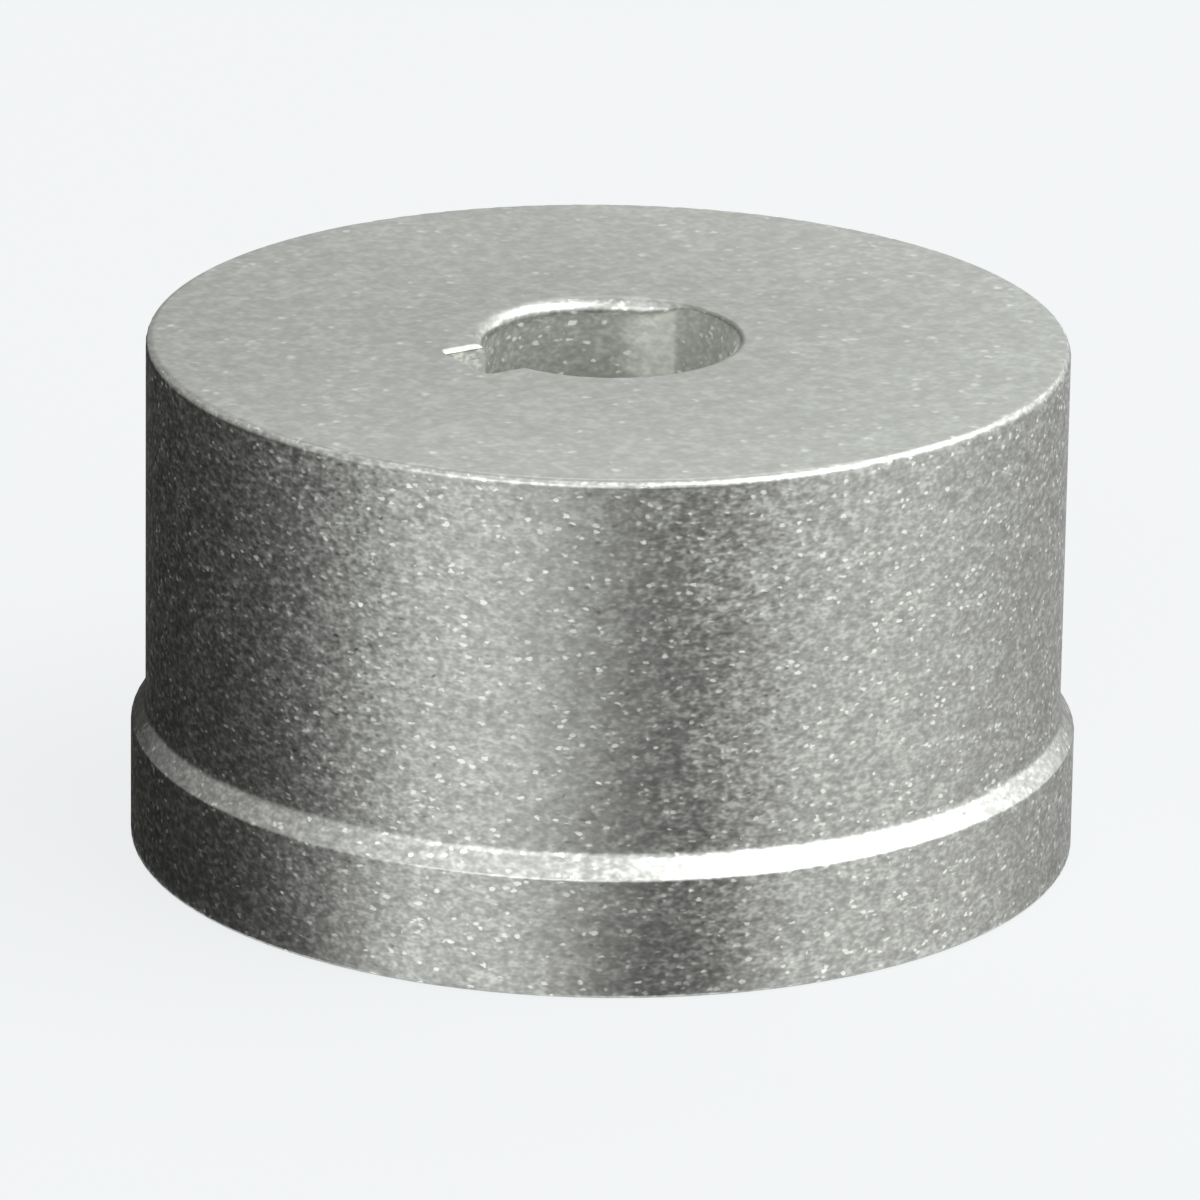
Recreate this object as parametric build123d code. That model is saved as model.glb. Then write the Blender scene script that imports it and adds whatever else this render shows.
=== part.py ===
from build123d import *
import math
import os

# A turned hub: a short cylinder on a slightly wider base flange, bored through,
# with one keyway broached along the bore.
# Sizes are in millimetres. Z is the turning axis, Z = 0 is the face the hub stands on,
# and the keyway points along -X.

# ---- outside ----
overall_height = 12.5
body_diameter = 22.0
flange_step = 0.35            # how far the flange stands proud of the body, per side
flange_wall_height = 2.9      # straight wall of the flange, up to the foot of the shoulder
shoulder_taper = 33.0         # degrees between the shoulder and the axis
shoulder_root_radius = 0.4    # nose radius of the turning tool, left in the inside corner
shoulder_edge_radius = 0.15   # outside corner where the shoulder meets the flange wall
rim_radius = 0.20             # outer edge of the top face, rounded by the blasting
base_radius = 0.10            # outer edge of the base face

# ---- bore and keyway ----
bore_diameter = 6.0
bore_edge_radius = 0.30       # both ends of the bore
key_width = 2.0               # across the keyway, between its parallel sides
key_depth = 1.0               # from the bore wall out to the keyway floor, on the centre line
key_corner_radius = 0.10      # the two long corners of the keyway floor
key_edge_break = 0.10         # outline of the keyway where it opens in each end face

# ---- sizes that follow from the ones above ----
body_radius = body_diameter / 2
flange_radius = body_radius + flange_step
bore_radius = bore_diameter / 2
shoulder_rise = flange_step / math.tan(math.radians(shoulder_taper))
shoulder_top = flange_wall_height + shoulder_rise
key_floor = bore_radius + key_depth

base_face = Plane.XY
top_face_looking_down = Plane(origin=(0, 0, overall_height), x_dir=(1, 0, 0), z_dir=(0, 0, -1))

# The turned section, right of the axis: X is the radius and Y is the height.
# Every turned edge is rounded here, so one revolve makes the whole turned shape.
with BuildSketch(Plane.XZ) as section:
    with BuildLine():
        Polyline(
            (bore_radius, 0),
            (flange_radius, 0),
            (flange_radius, flange_wall_height),
            (body_radius, shoulder_top),
            (body_radius, overall_height),
            (bore_radius, overall_height),
            close=True,
        )
    make_face()

    def corner(radius, height):
        return section.vertices().sort_by_distance((radius, height, 0))[0]

    fillet(corner(body_radius, shoulder_top), shoulder_root_radius)
    fillet(corner(flange_radius, flange_wall_height), shoulder_edge_radius)
    fillet(corner(body_radius, overall_height), rim_radius)
    fillet(corner(flange_radius, 0), base_radius)
    fillet(corner(bore_radius, 0), bore_edge_radius)
    fillet(corner(bore_radius, overall_height), bore_edge_radius)

# The keyway's outline across the axis: from the centre of the bore out to the floor.
with BuildSketch() as key_outline:
    with Locations((-key_floor / 2, 0)):
        Rectangle(key_floor, key_width)
    fillet(key_outline.vertices().group_by(Axis.X)[0], key_corner_radius)

# The same outline grown by the edge break, as it lies in the two end faces.
with BuildSketch() as key_mouth:
    with Locations((-key_floor / 2, 0)):
        Rectangle(key_floor + 2 * key_edge_break, key_width + 2 * key_edge_break)
    fillet(key_mouth.vertices().group_by(Axis.X)[0], key_corner_radius + key_edge_break)

with BuildPart() as hub:
    add(section.sketch)
    revolve(axis=Axis.Z)

    # The broach runs the full length of the bore.
    extrude(key_outline.sketch, amount=overall_height, mode=Mode.SUBTRACT)

    # At each end the keyway's outline is broken at 45 degrees, down to the true width.
    for face in (base_face, top_face_looking_down):
        mouth = face.location * key_mouth.sketch
        extrude(mouth, amount=key_edge_break, taper=45, mode=Mode.SUBTRACT)

os.makedirs("parts", exist_ok=True)
export_step(hub.part, "parts/turned_hub.step")

print("volume", round(hub.part.volume, 3), "mm3")
print("solids", len(hub.part.solids()), "faces", len(hub.part.faces()))
print("box", hub.part.bounding_box().size)
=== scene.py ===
"""A bead-blasted aluminium hub with a keyed bore, standing on a pale studio floor."""

import math

import bpy
from mathutils import Matrix, Vector

MM = 0.001

# Heights and radii of the hub's own faces and rounded edges, in millimetres.
OVERALL_HEIGHT = 12.5
FLANGE_RADIUS = 11.35
SHOULDER_FOOT = 2.9
SHOULDER_TOP = 3.44
SHOULDER_TAPER = math.radians(33.0)
SHOULDER_EDGE = 0.15
SHOULDER_ROOT = 0.4
BASE_EDGE = 0.10
RIM_EDGE = 0.20
BORE_RADIUS = 3.0
BORE_EDGE = 0.30

# The keyway: how far from the axis it starts and its floor lies, half its width, and how far its broken
# outline in the end faces reaches past them.
KEY_START = 2.75
KEY_FLOOR = 4.0
KEY_HALF_WIDTH = 1.0
KEY_BREAK = 0.105

# A radius that tells the bore from the outside wall.
BETWEEN_BORE_AND_WALL = 7.0

# Half the height over which one finish gives way to the next at a rounded edge, and how deep below an
# end face its finish is still full and where it is gone.
FADE = 0.04
FACE_FULL = 0.01
FACE_GONE = 0.06

# Which way the painted highlight in the bore and the wider part of the bore's mouth lie from the axis.
BORE_HIGHLIGHT_SIDE = (0.848, 0.530)
MOUTH_SIDE = (-0.292, 0.956)

# How wide the broken edge of the bore's mouth is, from its narrow side to its wide one.
MOUTH_NARROW = 0.05
MOUTH_WIDE = BORE_EDGE + 0.03

# The blasted skin: its colour on the walls and on the end faces, the width of a grain in millimetres,
# how far the grains are tipped, and how rough they are.
ALUMINIUM = (0.552, 0.560, 0.527)
ALUMINIUM_FACE = (0.530, 0.543, 0.500)
WALL_GRAIN = 0.23
FACE_GRAIN = 0.33
BORE_GRAIN = 0.27
GRAIN_TILT = 0.28
WALL_ROUGH = 0.37
FACE_ROUGH = 0.40
EDGE_ROUGH = 0.30
BORE_ROUGH = 0.6
KEYWAY_ROUGH = 0.9

# The least and the most by which grain, tone and painted light and shade may scale the metal's colour.
DARKEST = 0.15
BRIGHTEST = 1.8

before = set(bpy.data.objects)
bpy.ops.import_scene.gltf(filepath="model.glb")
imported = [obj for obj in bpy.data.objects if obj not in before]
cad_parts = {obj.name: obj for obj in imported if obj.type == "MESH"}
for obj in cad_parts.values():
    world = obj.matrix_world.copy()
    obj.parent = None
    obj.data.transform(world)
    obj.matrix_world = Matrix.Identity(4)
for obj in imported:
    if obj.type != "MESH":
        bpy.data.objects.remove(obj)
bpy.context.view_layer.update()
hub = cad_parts["turned_hub"]


# ---------------------------------------------------------------- node helpers


def add(tree, kind, **values):
    """A node with its properties and its inputs set, by name or by number."""
    made = tree.nodes.new(kind)
    inputs = values.pop("inputs", {})
    for name, value in values.items():
        setattr(made, name, value)
    for name, value in inputs.items():
        made.inputs[name].default_value = value
    return made


def maths(tree, operation, a, b=None, clamp=False):
    """One Math node. a and b are sockets or plain numbers."""
    made = tree.nodes.new("ShaderNodeMath")
    made.operation = operation
    made.use_clamp = clamp
    for slot, value in ((0, a), (1, b)):
        if value is None:
            continue
        if hasattr(value, "links"):
            tree.links.new(value, made.inputs[slot])
        else:
            made.inputs[slot].default_value = value
    return made.outputs[0]


def between(tree, value, low, high, to_low=0.0, to_high=1.0, smooth=True):
    """value, taken from low..high to to_low..to_high and held there."""
    made = tree.nodes.new("ShaderNodeMapRange")
    made.interpolation_type = "SMOOTHSTEP" if smooth else "LINEAR"
    tree.links.new(value, made.inputs["Value"])
    made.inputs["From Min"].default_value = low
    made.inputs["From Max"].default_value = high
    made.inputs["To Min"].default_value = to_low
    made.inputs["To Max"].default_value = to_high
    return made.outputs["Result"]


def new_group(name, inputs, outputs):
    """A shader node group with its input and output nodes. inputs and outputs are {socket name: kind}."""
    group = bpy.data.node_groups.new(name, "ShaderNodeTree")
    for label, kind in inputs.items():
        group.interface.new_socket(label, in_out="INPUT", socket_type=kind)
    for label, kind in outputs.items():
        group.interface.new_socket(label, in_out="OUTPUT", socket_type=kind)
    start = group.nodes.new("NodeGroupInput")
    end = group.nodes.new("NodeGroupOutput")
    return group, start, end


def new_material(name):
    """An empty material, its node tree and its output node."""
    material = bpy.data.materials.new(name)
    material.use_nodes = True
    tree = material.node_tree
    tree.nodes.clear()
    return material, tree, add(tree, "ShaderNodeOutputMaterial")


def product(tree, *factors):
    """All the factors multiplied, one Math node after another."""
    total = factors[0]
    for factor in factors[1:]:
        total = maths(tree, "MULTIPLY", total, factor)
    return total


def towards(tree, x, y, side):
    """How far a place lies from the axis towards side."""
    return maths(tree, "ADD", maths(tree, "MULTIPLY", x, side[0]), maths(tree, "MULTIPLY", y, side[1]))


# ---------------------------------------------------------------- finishes


def hub_zones():
    """Masks for the hub's faces and the true normal of the turned shape, read from the place on the hub.
    The shoulder's mask takes in the rim and the mouth of the bore, which have the same finish."""
    t, start, end = new_group(
        "hub_zones",
        {"Place": "NodeSocketVector"},
        {
            "Millimetres": "NodeSocketVector",
            "End face": "NodeSocketFloat",
            "Shoulder": "NodeSocketFloat",
            "Bore": "NodeSocketFloat",
            "Bore streak": "NodeSocketFloat",
            "Keyway": "NodeSocketFloat",
            "Face tone and painted shade": "NodeSocketFloat",
            "Turned normal": "NodeSocketVector",
            "Slot": "NodeSocketFloat",
        },
    )
    mm = add(t, "ShaderNodeVectorMath", operation="SCALE", inputs={"Scale": 1 / MM})
    t.links.new(start.outputs["Place"], mm.inputs[0])
    apart = add(t, "ShaderNodeSeparateXYZ")
    t.links.new(mm.outputs[0], apart.inputs[0])
    x, y, z = apart.outputs
    radius = maths(t, "SQRT", maths(t, "ADD", maths(t, "MULTIPLY", x, x), maths(t, "MULTIPLY", y, y)))

    def near_top(edge):
        """1 above a rounded edge's foot, where edge is its radius at the top of the hub."""
        foot = OVERALL_HEIGHT - edge
        return between(t, z, foot - FADE, foot + FADE)

    top = between(t, z, OVERALL_HEIGHT - FACE_GONE, OVERALL_HEIGHT - FACE_FULL)
    base = between(t, z, FACE_FULL, FACE_GONE, 1.0, 0.0)
    end_face = maths(t, "MAXIMUM", top, base)
    foot = between(t, z, SHOULDER_FOOT - FADE, SHOULDER_FOOT + FADE / 2)
    head = between(t, z, SHOULDER_TOP, SHOULDER_TOP + 3 * FADE, 1.0, 0.0)
    shoulder = maths(t, "MAXIMUM", maths(t, "MULTIPLY", foot, head), near_top(RIM_EDGE))
    mouth_end = BORE_RADIUS + BORE_EDGE
    mouth_edge = product(t, near_top(BORE_EDGE), between(t, radius, mouth_end, mouth_end + 0.1, 1.0, 0.0))
    shoulder = maths(t, "MAXIMUM", shoulder, mouth_edge)

    # The mouth of the bore is broken by hand, wider on one side than on the other. depth is how far a place
    # lies below the top face, as a share of the broken edge's width there.
    side = maths(t, "DIVIDE", towards(t, x, y, MOUTH_SIDE), radius)
    width = between(t, side, 0.0, 0.45, MOUTH_NARROW, MOUTH_WIDE)
    depth = maths(t, "DIVIDE", maths(t, "SUBTRACT", OVERALL_HEIGHT, z), width)
    near_axis = between(t, radius, KEY_FLOOR + 0.1, KEY_FLOOR + 0.4, 1.0, 0.0)
    bore = product(t, near_axis, between(t, depth, 0.7, 1.5))

    # A painted highlight on the side of the bore that the light reaches: it fades in from one side and ends
    # sharply on the other.
    along = towards(t, x, y, BORE_HIGHLIGHT_SIDE)
    across = maths(t, "DIVIDE", towards(t, x, y, (BORE_HIGHLIGHT_SIDE[1], -BORE_HIGHLIGHT_SIDE[0])), radius)
    streak = product(
        t,
        between(t, across, -0.42, -0.08),
        between(t, across, 0.10, 0.16, 1.0, 0.3),
        between(t, along, 0.0, 0.9),
        bore,
    )

    # The broached slot with its broken edges, and the part of it below them.
    slot = product(
        t,
        maths(t, "LESS_THAN", x, -KEY_START),
        maths(t, "GREATER_THAN", x, -KEY_FLOOR - KEY_BREAK),
        maths(t, "LESS_THAN", maths(t, "ABSOLUTE", y), KEY_HALF_WIDTH + KEY_BREAK),
    )
    below_break = between(t, z, OVERALL_HEIGHT - 0.14, OVERALL_HEIGHT - 0.10, 1.0, 0.0)
    keyway = product(t, slot, below_break)

    # The end faces' own tone, with painted shade: a little darker round the bore and towards one side.
    face_tone_and_shade = between(t, radius, 4.6, 10.0, 0.705, 0.785, smooth=False)
    face_tone_and_shade = maths(t, "ADD", face_tone_and_shade, towards(t, x, y, (0.003, -0.0055)))

    # The true normal of the turned shape. rise is its upward part: 1 on the end face, 0 on the walls,
    # and on each rounded edge it follows the height, as on any arc.
    def arc(foot, size):
        return maths(t, "DIVIDE", maths(t, "SUBTRACT", z, foot), size)

    def held(value):
        return maths(t, "ADD", value, 0.0, clamp=True)

    half_taper = math.tan(SHOULDER_TAPER / 2)
    root = SHOULDER_TOP + SHOULDER_ROOT * half_taper
    edge = SHOULDER_FOOT - SHOULDER_EDGE * half_taper
    slope = maths(t, "MINIMUM", arc(edge, SHOULDER_EDGE), arc(root, -SHOULDER_ROOT))
    slope = held(maths(t, "MINIMUM", slope, math.sin(SHOULDER_TAPER)))
    rim_rise = held(arc(OVERALL_HEIGHT - RIM_EDGE, RIM_EDGE))
    foot_fall = held(arc(BASE_EDGE, -BASE_EDGE))
    outer = maths(t, "SUBTRACT", maths(t, "ADD", rim_rise, slope), foot_fall)
    mouth = maths(t, "SUBTRACT", 1.0, depth, clamp=True)
    tail = held(arc(BORE_EDGE, -BORE_EDGE))
    outside = maths(t, "GREATER_THAN", radius, BETWEEN_BORE_AND_WALL)
    inner = maths(t, "SUBTRACT", mouth, tail)
    rise = maths(t, "ADD", inner, maths(t, "MULTIPLY", outside, maths(t, "SUBTRACT", outer, inner)))
    level = maths(t, "SQRT", maths(t, "SUBTRACT", 1.0, maths(t, "MULTIPLY", rise, rise), clamp=True))
    # The outside wall faces away from the axis and the bore faces it.
    level = maths(t, "MULTIPLY", level, maths(t, "SUBTRACT", maths(t, "MULTIPLY", outside, 2.0), 1.0))
    level = maths(t, "DIVIDE", level, radius)
    normal = add(t, "ShaderNodeCombineXYZ")
    t.links.new(maths(t, "MULTIPLY", x, level), normal.inputs[0])
    t.links.new(maths(t, "MULTIPLY", y, level), normal.inputs[1])
    t.links.new(rise, normal.inputs[2])

    for label, socket in (
        ("Millimetres", mm.outputs[0]),
        ("End face", end_face),
        ("Shoulder", shoulder),
        ("Bore", bore),
        ("Bore streak", streak),
        ("Keyway", keyway),
        ("Face tone and painted shade", face_tone_and_shade),
        ("Turned normal", normal.outputs[0]),
        ("Slot", slot),
    ):
        t.links.new(socket, end.inputs[label])
    return t


def bead_grain():
    """The skin that blasting with beads leaves: a sandy surface that leans every way and is a little
    lighter or darker from grain to grain and in slow clouds, with a few small flats tipped far over or
    struck bright."""
    t, start, end = new_group(
        "bead_grain",
        {"Millimetres": "NodeSocketVector", "Grain size": "NodeSocketFloat"},
        {"Tilt": "NodeSocketVector", "Mottle": "NodeSocketFloat", "Struck": "NodeSocketFloat"},
    )
    # Each grain is wider than it is tall.
    low = add(t, "ShaderNodeVectorMath", operation="MULTIPLY", inputs={1: (1.0, 1.0, 1.6)})
    t.links.new(start.outputs["Millimetres"], low.inputs[0])
    place = low.outputs[0]
    per_mm = maths(t, "DIVIDE", 1.0, start.outputs["Grain size"])

    sand = add(t, "ShaderNodeTexNoise", inputs={"Detail": 1.0, "Roughness": 0.85})
    t.links.new(place, sand.inputs["Vector"])
    t.links.new(per_mm, sand.inputs["Scale"])

    clouds = add(t, "ShaderNodeTexNoise", inputs={"Detail": 1.0, "Roughness": 0.8})
    t.links.new(place, clouds.inputs["Vector"])
    t.links.new(maths(t, "MULTIPLY", per_mm, 0.27), clouds.inputs["Scale"])

    def centred(colour, amount):
        apart = add(t, "ShaderNodeVectorMath", operation="SUBTRACT", inputs={1: (0.5, 0.5, 0.5)})
        t.links.new(colour, apart.inputs[0])
        scaled = add(t, "ShaderNodeVectorMath", operation="SCALE")
        t.links.new(apart.outputs[0], scaled.inputs[0])
        if hasattr(amount, "links"):
            t.links.new(amount, scaled.inputs["Scale"])
        else:
            scaled.inputs["Scale"].default_value = amount
        return scaled.outputs[0]

    # The flats have ragged edges, because the sand shifts where they are looked up.
    shift = maths(t, "MULTIPLY", start.outputs["Grain size"], 0.8)
    ragged = add(t, "ShaderNodeVectorMath", operation="ADD")
    t.links.new(place, ragged.inputs[0])
    t.links.new(centred(sand.outputs["Color"], shift), ragged.inputs[1])
    flats = add(t, "ShaderNodeTexVoronoi", feature="F1", inputs={"Randomness": 1.0})
    t.links.new(ragged.outputs[0], flats.inputs["Vector"])
    t.links.new(maths(t, "MULTIPLY", per_mm, 1.35), flats.inputs["Scale"])
    lot = add(t, "ShaderNodeTexWhiteNoise", noise_dimensions="3D")
    t.links.new(flats.outputs["Position"], lot.inputs["Vector"])
    middle = between(t, flats.outputs["Distance"], 0.15, 0.62, 1.0, 0.0)

    tipped = maths(t, "MULTIPLY", between(t, lot.outputs["Value"], 0.5, 1.0, 0.0, 1.7, smooth=False), middle)
    tilt = add(t, "ShaderNodeVectorMath", operation="ADD")
    t.links.new(centred(flats.outputs["Color"], tipped), tilt.inputs[0])
    t.links.new(centred(sand.outputs["Color"], 0.95), tilt.inputs[1])

    split = add(t, "ShaderNodeSeparateColor")
    t.links.new(lot.outputs["Color"], split.inputs[0])
    mottle = maths(
        t,
        "ADD",
        between(t, sand.outputs["Fac"], 0.3, 0.7, -1.0, 1.0, smooth=False),
        between(t, clouds.outputs["Fac"], 0.3, 0.7, -0.3, 0.3, smooth=False),
    )
    # The skin goes less far down than up, as the bottoms of the dents are wide and their rims are narrow.
    mottle = maths(t, "MAXIMUM", mottle, maths(t, "MULTIPLY", mottle, 0.6))
    struck = maths(t, "POWER", between(t, split.outputs[2], 0.84, 1.0, smooth=False), 1.4)
    struck = maths(t, "MULTIPLY", struck, middle)
    t.links.new(tilt.outputs[0], end.inputs["Tilt"])
    t.links.new(mottle, end.inputs["Mottle"])
    t.links.new(struck, end.inputs["Struck"])
    return t


def blasted_aluminium():
    """The hub's finish: bead-blasted aluminium. The grain stands out on the outside wall and is faint on the
    end faces, the shoulder and the rounded edges."""
    material, t, out = new_material("blasted_aluminium")
    metal = add(t, "ShaderNodeBsdfPrincipled", inputs={"Metallic": 1.0})
    t.links.new(metal.outputs[0], out.inputs["Surface"])
    place = add(t, "ShaderNodeTexCoord")
    zones = add(t, "ShaderNodeGroup", node_tree=hub_zones())
    t.links.new(place.outputs["Object"], zones.inputs["Place"])
    masks = {
        "end_face": zones.outputs["End face"],
        "shoulder": zones.outputs["Shoulder"],
        "bore": zones.outputs["Bore"],
        "streak": zones.outputs["Bore streak"],
        "keyway": zones.outputs["Keyway"],
    }

    def blend(a, b, share):
        made = add(t, "ShaderNodeMix", data_type="FLOAT")
        t.links.new(share, made.inputs[0])
        for slot, value in ((2, a), (3, b)):
            if hasattr(value, "links"):
                t.links.new(value, made.inputs[slot])
            else:
                made.inputs[slot].default_value = value
        return made.outputs[0]

    def by_zone(wall, **others):
        """The wall's value, giving way in each named zone in turn to that zone's own."""
        value = wall
        for zone, own in others.items():
            value = blend(value, own, masks[zone])
        return value

    def far_in(zone):
        return maths(t, "GREATER_THAN", masks[zone], 0.5)

    # A grain keeps one size over its whole width, so its size changes at once and doesn't fade.
    size = blend(WALL_GRAIN, BORE_GRAIN, far_in("bore"))
    size = blend(size, FACE_GRAIN, far_in("end_face"))
    grain = add(t, "ShaderNodeGroup", node_tree=bead_grain())
    t.links.new(zones.outputs["Millimetres"], grain.inputs["Millimetres"])
    t.links.new(size, grain.inputs["Grain size"])

    # The normal: the turned shape's own, or in the slot the mesh's, and tipped by the grain.
    amount = maths(t, "MULTIPLY", by_zone(1.0, bore=0.5, shoulder=0.35, end_face=0.35), GRAIN_TILT)
    tip = add(t, "ShaderNodeVectorMath", operation="SCALE")
    t.links.new(grain.outputs["Tilt"], tip.inputs[0])
    t.links.new(amount, tip.inputs["Scale"])
    turned = add(
        t, "ShaderNodeVectorTransform", vector_type="NORMAL", convert_from="OBJECT", convert_to="WORLD"
    )
    t.links.new(zones.outputs["Turned normal"], turned.inputs[0])
    broached = add(t, "ShaderNodeNewGeometry")
    face = add(t, "ShaderNodeMix", data_type="VECTOR")
    t.links.new(zones.outputs["Slot"], face.inputs[0])
    t.links.new(turned.outputs[0], face.inputs[4])
    t.links.new(broached.outputs["Normal"], face.inputs[5])
    tipped = add(t, "ShaderNodeVectorMath", operation="ADD")
    t.links.new(face.outputs[1], tipped.inputs[0])
    t.links.new(tip.outputs[0], tipped.inputs[1])
    unit = add(t, "ShaderNodeVectorMath", operation="NORMALIZE")
    t.links.new(tipped.outputs[0], unit.inputs[0])
    t.links.new(unit.outputs[0], metal.inputs["Normal"])

    # The colour: the metal's own, times each zone's tone, its mottle and its bright flats, and on the end
    # faces their tone with painted shade.
    # Painted light: the bore is painted a little lighter than the wall, and the keyway lighter still, for
    # the light that reaches into them.
    # Painted light: the highlight in the bore is painted in with a tone of 1.65.
    tone = by_zone(0.93, bore=0.98, streak=1.65, keyway=1.2)
    contrast = by_zone(0.34, bore=0.24, end_face=0.16)
    glint = by_zone(2.0, keyway=1.0, end_face=0.5)
    shade = maths(t, "ADD", maths(t, "MULTIPLY", grain.outputs["Mottle"], contrast), tone)
    shade = maths(t, "ADD", shade, maths(t, "MULTIPLY", grain.outputs["Struck"], glint))
    shade = maths(t, "MULTIPLY", shade, by_zone(1.0, end_face=zones.outputs["Face tone and painted shade"]))
    shade = maths(t, "MINIMUM", maths(t, "MAXIMUM", shade, DARKEST), BRIGHTEST)
    colour = add(t, "ShaderNodeMix", data_type="VECTOR", inputs={4: ALUMINIUM, 5: ALUMINIUM_FACE})
    t.links.new(masks["end_face"], colour.inputs[0])
    tint = add(t, "ShaderNodeVectorMath", operation="SCALE")
    t.links.new(colour.outputs[1], tint.inputs[0])
    t.links.new(shade, tint.inputs["Scale"])
    t.links.new(tint.outputs[0], metal.inputs["Base Color"])

    # A grain that stands out is rougher too, so it picks up light from further round.
    spread = maths(t, "ADD", maths(t, "MULTIPLY", grain.outputs["Mottle"], 0.05), WALL_ROUGH)
    spread = maths(t, "ADD", spread, maths(t, "MULTIPLY", grain.outputs["Struck"], 0.12))
    rough = by_zone(
        spread, shoulder=EDGE_ROUGH, end_face=FACE_ROUGH, bore=BORE_ROUGH, keyway=KEYWAY_ROUGH
    )
    t.links.new(rough, metal.inputs["Roughness"])
    return material


hub.data.materials.clear()
hub.data.materials.append(blasted_aluminium())


# ---------------------------------------------------------------- studio

# The floor's and the backdrop's colour, and how much of the floor's tone is its own.
PALE = (0.887, 0.905, 0.913, 1.0)
FLOOR_OWN = 0.86
FLOOR_HALF = 3.0
SKY_STRENGTH = 0.48

# The camera: its place round the hub and above it and its turn about its own axis in degrees, how far
# back it stands, how far it is moved right and up, and its lens in millimetres.
VIEW_AZIMUTH = -33.0
VIEW_ELEVATION = 18.966
VIEW_ROLL = 0.899
VIEW_DISTANCE = 250.063 * MM
VIEW_OFFSET = (-0.01925 * MM, 5.5462 * MM)
VIEW_LENS = 310.346018
SENSOR = 36.0

# The middle of the hub, where the lamps aim.
AIM_HEIGHT = 6 * MM

# The cards start just clear of the floor and of the flange. BACKDROP_TONE is the grey that a screen
# fades to at its top.
CARD_LIFT = 0.02 * MM
CARD_GAP = 0.05
CARD_STEPS = 6
BACKDROP_TONE = 0.85


def link(thing):
    bpy.context.scene.collection.objects.link(thing)


def around(azimuth, elevation, distance, height=AIM_HEIGHT):
    """A point that far from the axis's point at height. azimuth counts from the camera's side, positive to
    the right."""
    a, e = math.radians(azimuth + VIEW_AZIMUTH), math.radians(elevation)
    out = Vector((math.sin(a) * math.cos(e), -math.cos(a) * math.cos(e), math.sin(e)))
    return Vector((0, 0, height)) + out * distance


def seen_rays(t):
    """1 for the rays that look at a backdrop: straight, by a mirror image or through glass."""
    path = add(t, "ShaderNodeLightPath")
    looks = maths(t, "MAXIMUM", path.outputs["Is Camera Ray"], path.outputs["Is Glossy Ray"])
    return maths(t, "MAXIMUM", looks, path.outputs["Is Transmission Ray"])


def studio_floor():
    """A wide pale floor. Part of its tone is its own, so that the hub's soft shadow stays light."""
    mesh = bpy.data.meshes.new("studio_floor")
    corners = [(x * FLOOR_HALF, y * FLOOR_HALF, 0) for x, y in ((-1, -1), (1, -1), (1, 1), (-1, 1))]
    mesh.from_pydata(corners, [], [(0, 1, 2, 3)])
    floor = bpy.data.objects.new("studio_floor", mesh)
    link(floor)
    material, t, out = new_material("pale_floor")
    lit = add(t, "ShaderNodeBsdfDiffuse", inputs={"Color": PALE})
    own = add(t, "ShaderNodeEmission", inputs={"Color": PALE, "Strength": 1.0})
    mix = add(t, "ShaderNodeMixShader")
    t.links.new(maths(t, "MULTIPLY", seen_rays(t), FLOOR_OWN), mix.inputs[0])
    t.links.new(lit.outputs[0], mix.inputs[1])
    t.links.new(own.outputs[0], mix.inputs[2])
    t.links.new(mix.outputs[0], out.inputs["Surface"])
    mesh.materials.append(material)


def studio_world():
    """Even soft light from all round, seen as the same pale tone as the floor."""
    world = bpy.data.worlds.new("studio")
    bpy.context.scene.world = world
    world.use_nodes = True
    t = world.node_tree
    t.nodes.clear()
    out = add(t, "ShaderNodeOutputWorld")
    light = add(t, "ShaderNodeBackground", inputs={"Color": (1.0, 1.0, 1.0, 1.0), "Strength": SKY_STRENGTH})
    seen = add(t, "ShaderNodeBackground", inputs={"Color": PALE, "Strength": 1.0})
    pick = add(t, "ShaderNodeMixShader")
    t.links.new(seen_rays(t), pick.inputs[0])
    t.links.new(light.outputs[0], pick.inputs[1])
    t.links.new(seen.outputs[0], pick.inputs[2])
    t.links.new(pick.outputs[0], out.inputs["Surface"])


def glowing_grey_card():
    """A card that glows in the greys that its points carry: painted light in place of grey paper lit by the
    lamps.
    """
    material, t, out = new_material("glowing_grey_card")
    grey = add(t, "ShaderNodeAttribute", attribute_name="tone")
    glow = add(t, "ShaderNodeEmission", inputs={"Strength": 1.0})
    t.links.new(grey.outputs["Fac"], glow.inputs["Color"])
    t.links.new(glow.outputs[0], out.inputs["Surface"])
    return material


def spread_stops(stops):
    """The stops, with CARD_STEPS - 1 more places and tones between each one and the next."""
    spots = []
    for (a, tone_a), (b, tone_b) in zip(stops, stops[1:]):
        for k in range(CARD_STEPS):
            spots.append((a + (b - a) * k / CARD_STEPS, tone_a + (tone_b - tone_a) * k / CARD_STEPS))
    return spots + [stops[-1]]


def stand_card(name, columns, tones, glowing_material):
    """A card that shows only in the metal's reflections. columns are its upright rows of points, one list
    of as many points for each, and tones is a grey for each of their points."""
    row = len(columns[0])
    faces = []
    for k in range(len(columns) - 1):
        for p in range(k * row, (k + 1) * row - 1):
            faces.append((p, p + 1, p + row + 1, p + row))
    mesh = bpy.data.meshes.new(name)
    mesh.from_pydata([point for column in columns for point in column], [], faces)
    mesh.attributes.new("tone", "FLOAT", "POINT").data.foreach_set("value", tones)
    mesh.materials.append(glowing_material)
    card = bpy.data.objects.new(name, mesh)
    link(card)
    card.visible_camera = False
    card.visible_diffuse = False
    card.visible_shadow = False
    card.visible_transmission = False


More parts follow.
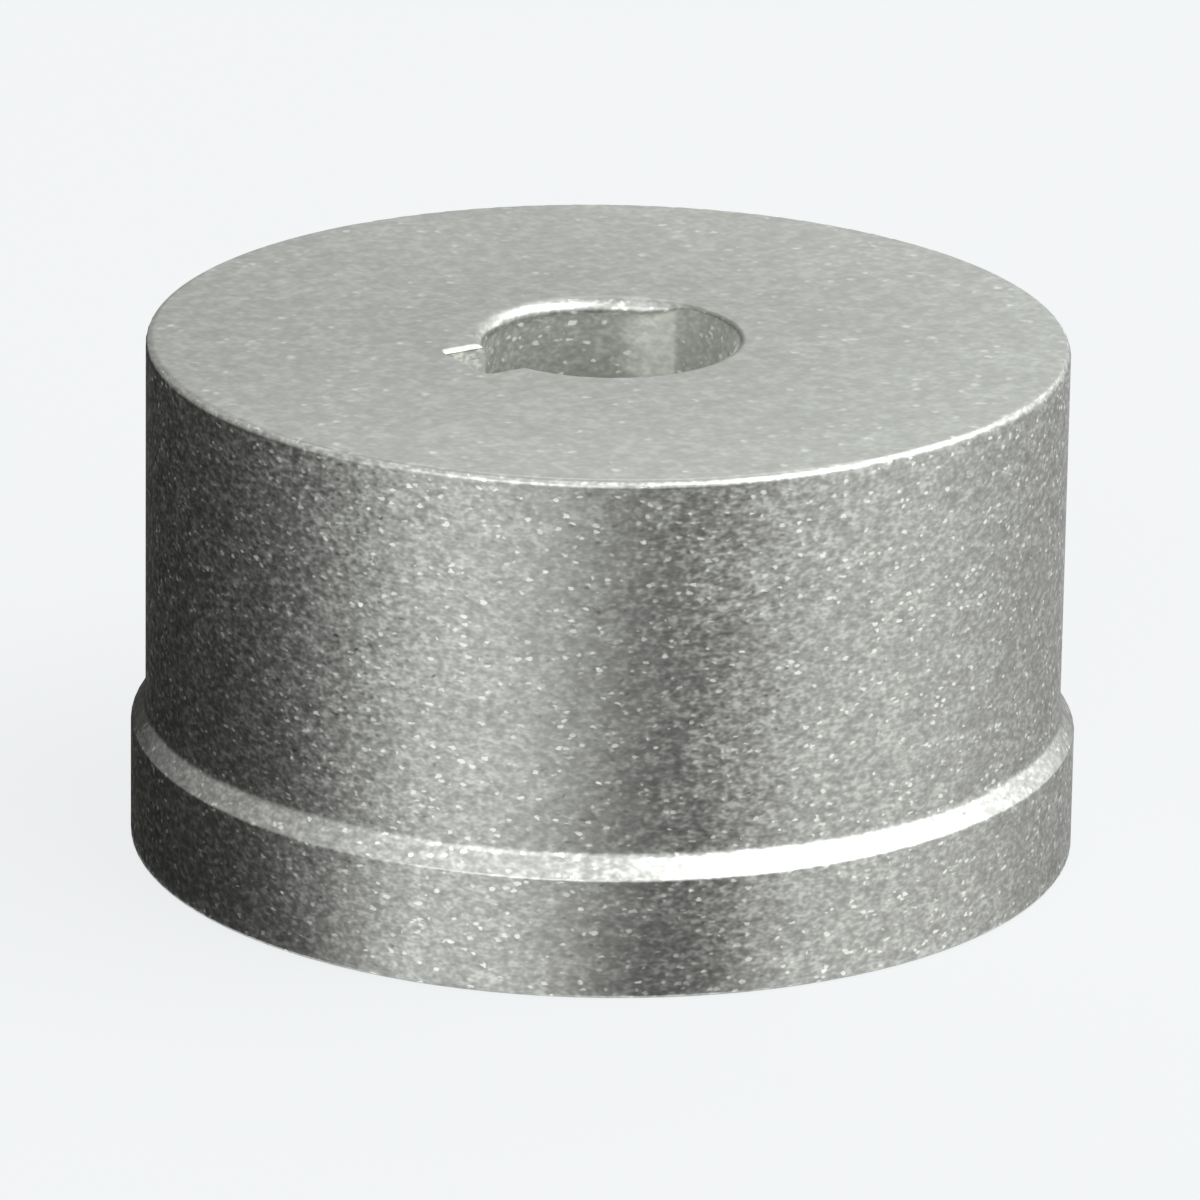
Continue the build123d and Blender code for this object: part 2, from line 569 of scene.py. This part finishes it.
def flag(name, stops, reach, top, glowing_material):
    """A graded card on the floor beside the hub, standing up at its far end to an elevation in degrees.
    stops are (place round the wall in degrees from the camera's side, tone). Each side of the card runs
    from its place on the wall in the direction in which the wall there mirrors the camera, so the card
    darkens that stretch of the wall evenly from top to bottom."""
    rise = 4
    turn = math.radians(VIEW_AZIMUTH)
    columns, tones = [], []
    for place, tone in spread_stops(stops):
        a = math.radians(place)
        foot = Vector((math.sin(a + turn), -math.cos(a + turn), 0.0)) * (FLANGE_RADIUS + CARD_GAP) * MM
        far = foot + Vector((math.sin(2 * a + turn), -math.cos(2 * a + turn), 0.0)) * reach
        lifts = [math.tan(math.radians(top) * j / rise) * reach for j in range(rise + 1)]
        columns.append([foot + Vector((0, 0, CARD_LIFT))])
        columns[-1] += [far + Vector((0, 0, CARD_LIFT + lift)) for lift in lifts]
        tones += [tone] * (rise + 2)
    stand_card(name, columns, tones, glowing_material)


def screen(name, stops, radius, top, glowing_material):
    """A tall curved card round part of the hub, up to an elevation in degrees, fading there into the
    backdrop. stops are (azimuth, tone at its foot)."""
    rise = 6
    columns, tones = [], []
    for azimuth, tone in spread_stops(stops):
        columns.append([around(azimuth, top * j / rise, radius, CARD_LIFT) for j in range(rise + 1)])
        tones += [tone + (BACKDROP_TONE - tone) * j / rise for j in range(rise + 1)]
    stand_card(name, columns, tones, glowing_material)


def softbox(name, azimuth, elevation, distance, width, tall, radiance):
    """A rectangular lamp that faces the hub. radiance is how bright its face looks, where 1 is white."""
    data = bpy.data.lights.new(name, "AREA")
    data.shape = "RECTANGLE"
    data.size = width
    data.size_y = tall
    data.energy = radiance * math.pi * width * tall
    lamp = bpy.data.objects.new(name, data)
    link(lamp)
    lamp.location = around(azimuth, elevation, distance)
    aim = Vector((0, 0, AIM_HEIGHT)) - lamp.location
    lamp.rotation_euler = aim.to_track_quat("-Z", "Y").to_euler()


def studio_camera():
    """A long lens, looking down a little on the hub's rim."""
    a, e, roll = (math.radians(v) for v in (VIEW_AZIMUTH, VIEW_ELEVATION, VIEW_ROLL))
    back = Vector((math.sin(a) * math.cos(e), -math.cos(a) * math.cos(e), math.sin(e)))
    right = Vector((math.cos(a), math.sin(a), 0.0))
    up = back.cross(right)
    right, up = (
        right * math.cos(roll) + up * math.sin(roll),
        up * math.cos(roll) - right * math.sin(roll),
    )
    data = bpy.data.cameras.new("studio_camera")
    data.sensor_width = SENSOR
    data.lens = VIEW_LENS
    data.clip_start = 0.01
    camera = bpy.data.objects.new("studio_camera", data)
    link(camera)
    turn = Matrix((right, up, back)).transposed().to_4x4()
    spot = right * VIEW_OFFSET[0] + up * VIEW_OFFSET[1] + back * VIEW_DISTANCE
    camera.matrix_world = Matrix.Translation(spot) @ turn
    bpy.context.scene.camera = camera


studio_floor()
studio_world()
studio_camera()

# name, azimuth and elevation in degrees, distance, width and height in metres, radiance
softbox("key_box", 72, 45, 0.60, 1.00, 0.50, 2.0)
softbox("over_box", 162, 50, 0.60, 0.60, 0.34, 0.9)
softbox("front_box", -24, 24, 0.60, 0.48, 0.28, 1.2)
softbox("top_box", -15, 62, 0.60, 0.70, 0.45, 0.28)
softbox("back_box", 130, 17, 0.60, 0.40, 0.26, 0.6)

glowing_card_material = glowing_grey_card()
flag(
    "left_flag",
    [(-24, 0.85), (-30, 0.48), (-38, 0.12), (-48, 0.035), (-60, 0.025), (-72, 0.01), (-90, 0.01)],
    60 * MM,
    5,
    glowing_card_material,
)
flag(
    "camera_flag",
    [(-10, 0.85), (-5, 0.62), (1, 0.26), (7, 0.12), (13, 0.22), (21, 0.72), (27, 0.80)],
    60 * MM,
    12,
    glowing_card_material,
)
flag(
    "right_flag",
    [(28, 0.80), (38, 0.84), (48, 0.76), (60, 0.55), (75, 0.40), (90, 0.36)],
    60 * MM,
    2,
    glowing_card_material,
)
screen(
    "left_screen",
    [(-64, 0.6), (-80, 0.24), (-125, 0.09), (-150, 0.15), (-168, 0.6)],
    70 * MM,
    50,
    glowing_card_material,
)

bpy.context.scene.view_settings.view_transform = "Standard"
